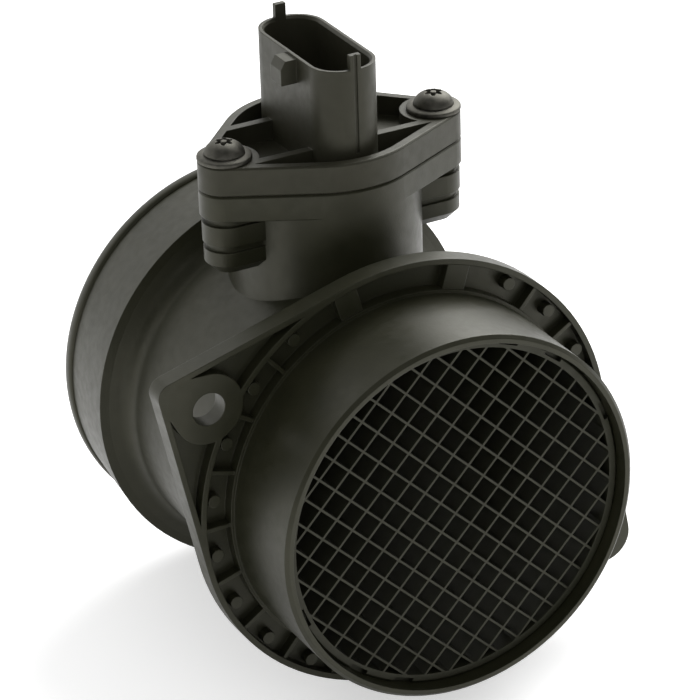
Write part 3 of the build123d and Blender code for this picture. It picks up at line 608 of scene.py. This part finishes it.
def view_axes(azimuth, elevation, roll):
    """Right, up and back directions of a camera; azimuth 0 looks along +Y."""
    a, e, r = (math.radians(angle) for angle in (azimuth, elevation, roll))
    right = Vector((math.cos(a), math.sin(a), 0))
    back = Vector((math.sin(a) * math.cos(e), -math.cos(a) * math.cos(e), math.sin(e)))
    up = back.cross(right)
    return math.cos(r) * right + math.sin(r) * up, math.cos(r) * up - math.sin(r) * right, back


right, up, back = view_axes(CAMERA_AZIMUTH, CAMERA_ELEVATION, CAMERA_ROLL)
camera = bpy.data.objects.new("camera", bpy.data.cameras.new("camera"))
camera.data.sensor_width = SENSOR_WIDTH
camera.data.lens = LENS
camera.data.clip_start = NEAREST_SEEN
camera.matrix_world = Matrix((right, up, back)).transposed().to_4x4()
camera.location = CAMERA_DISTANCE * back - MOUTH_RIGHT * right + MOUTH_BELOW * up
bpy.context.scene.collection.objects.link(camera)
bpy.context.scene.camera = camera


def backdrop_share(tree, glossy):
    """1 for the camera's rays and rays through glass, glossy for mirrored rays, and 0 for light."""
    path = add(tree, "LightPath")
    straight = {0: path.outputs["Is Camera Ray"], 1: path.outputs["Is Transmission Ray"]}
    clear = add(tree, "Math", straight, operation="ADD").outputs[0]
    mirrored = {0: path.outputs["Is Glossy Ray"], 1: glossy, 2: clear}
    return add(tree, "Math", mirrored, operation="MULTIPLY_ADD", use_clamp=True).outputs[0]


def white_world():
    """Even light on the part, with a backdrop that is white to the camera and through glass.

    Glossy surfaces mirror the backdrop as a white sweep behind and below, and a dim room in front.
    """
    world = bpy.data.worlds.new("studio")
    bpy.context.scene.world = world
    world.use_nodes = True
    tree = world.node_tree
    tree.nodes.clear()
    outward = add(tree, "TexCoord").outputs["Generated"]
    toward = add(tree, "VectorMath", {0: outward, 1: SWEEP_SIDE}, operation="DOT_PRODUCT")
    edge = {"Value": toward.outputs["Value"], "From Min": SWEEP_EDGE[0], "From Max": SWEEP_EDGE[1]}
    edge["To Min"], edge["To Max"] = SWEEP_MIRRORED
    sweep = add(tree, "MapRange", edge, interpolation_type="SMOOTHSTEP").outputs["Result"]
    seen = {0: backdrop_share(tree, 0.0), 1: sweep}
    white = add(tree, "Math", seen, operation="MAXIMUM").outputs[0]
    backdrop = add(tree, "Background", {"Color": WHITE, "Strength": white})
    light = add(tree, "Background", {"Color": WHITE, "Strength": ROOM_LIGHT})
    share = backdrop_share(tree, 1.0)
    both = add(tree, "MixShader", {0: share, 1: light.outputs[0], 2: backdrop.outputs[0]})
    add(tree, "OutputWorld", {"Surface": both.outputs[0]})


def white_floor():
    """A wide pale floor under the part, which keeps a soft shadow and is clear from below."""
    material, tree = new_material("pale_floor")
    grain = add(tree, "TexNoise", {"Scale": FLOOR_GRAIN, "Detail": 3.0}).outputs["Fac"]
    paint = add(tree, "ValToRGB", {"Fac": grain}, stops=((0.3, "eeeeee"), (0.7, "f4f4f4")))
    matt = add(tree, "BsdfDiffuse", {"Color": paint.outputs["Color"]})
    glow = add(tree, "Emission", {"Color": WHITE, "Strength": FLOOR_GLOW})
    lit = add(tree, "AddShader", {0: matt.outputs[0], 1: glow.outputs[0]})
    share = backdrop_share(tree, FLOOR_MIRRORED)
    seen = add(tree, "MixShader", {0: share, 1: matt.outputs[0], 2: lit.outputs[0]})
    clear = add(tree, "BsdfTransparent")
    below = add(tree, "NewGeometry").outputs["Backfacing"]
    sides = add(tree, "MixShader", {0: below, 1: seen.outputs[0], 2: clear.outputs[0]})
    add(tree, "OutputMaterial", {"Surface": sides.outputs[0]})
    mesh = bpy.data.meshes.new("floor")
    turns = ((-1, -1), (1, -1), (1, 1), (-1, 1))
    corners = [(x * FLOOR_REACH, y * FLOOR_REACH, cad_low.z) for x, y in turns]
    mesh.from_pydata(corners, [], [(0, 1, 2, 3)])
    mesh.materials.append(material)
    floor = bpy.data.objects.new("floor", mesh)
    bpy.context.scene.collection.objects.link(floor)
    floor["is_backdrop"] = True


def soft_lamp(name, place, size, power):
    """A round area lamp at place, of the given width in metres and power in watts, facing the part."""
    lamp = bpy.data.lights.new(name, "AREA")
    lamp.shape = "DISK"
    lamp.size = size
    lamp.energy = power
    piece = bpy.data.objects.new(name, lamp)
    piece.location = place
    piece.rotation_euler = (Vector(LAMP_AIM) - Vector(place)).to_track_quat("-Z", "Y").to_euler()
    bpy.context.scene.collection.objects.link(piece)


white_world()
white_floor()
soft_lamp("left_light", (-1.1, 0.15, 0.25), 0.5, 0.4)
soft_lamp("right_light", (0.7, 0.5, 0.75), 0.9, 13.0)
soft_lamp("front_fill", (-0.3, -1.2, 0.9), 0.8, 0.8)

view = bpy.context.scene.view_settings
view.view_transform = "Standard"

low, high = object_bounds()
